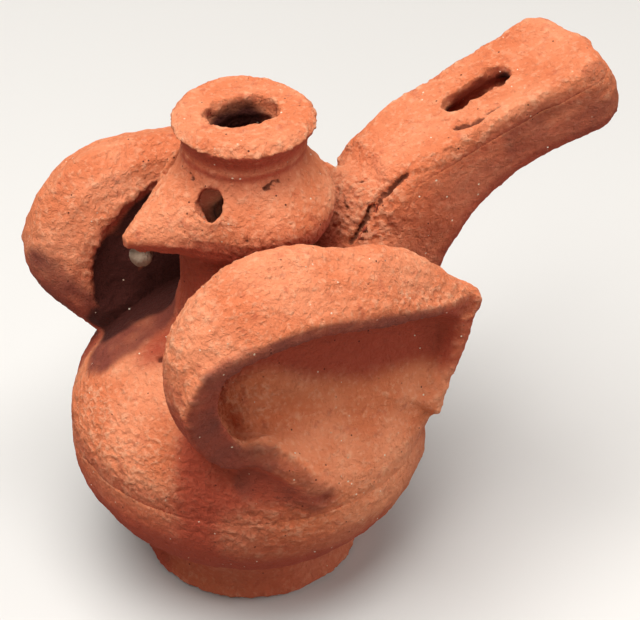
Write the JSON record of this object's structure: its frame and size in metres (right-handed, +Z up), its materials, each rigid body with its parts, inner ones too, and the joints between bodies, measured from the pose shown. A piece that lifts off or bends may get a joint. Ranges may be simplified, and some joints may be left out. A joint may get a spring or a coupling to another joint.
{
  "type": "pottery bird whistle",
  "caption": "Hand-built earthenware bird whistle: round hollow body on a low foot, bell head with open spout, pinched wings, tail mouthpiece.",
  "frame": {"origin": "middle of the flat underside of the foot", "axes": "+Z up, -X towards the beak, +X towards the tail mouthpiece, +Y towards the bird's right wing"},
  "size_m": [0.1266, 0.0841, 0.1154],
  "materials": {
    "terracotta": "unglazed, coarse, gritty",
    "terracotta_deep": "unglazed, coarse, flame-darkened",
    "pale_clay": "unglazed, matte"
  },
  "bodies": {
    "root": {"foot_disc": "terracotta_deep", "lower_bowl": "terracotta", "upper_dome": "terracotta", "neck_tube": "terracotta_deep", "head_shell": "terracotta", "beak": "terracotta", "throat_pellet": "pale_clay", "spout_collar": "terracotta", "spout_lip": "terracotta", "tail_trough": "terracotta_deep", "tail_top_slab": "terracotta", "windway_block": "terracotta_deep", "tail_root_lute": "terracotta", "left_wing": "terracotta", "right_wing": "terracotta"}
  },
  "joints": []
}
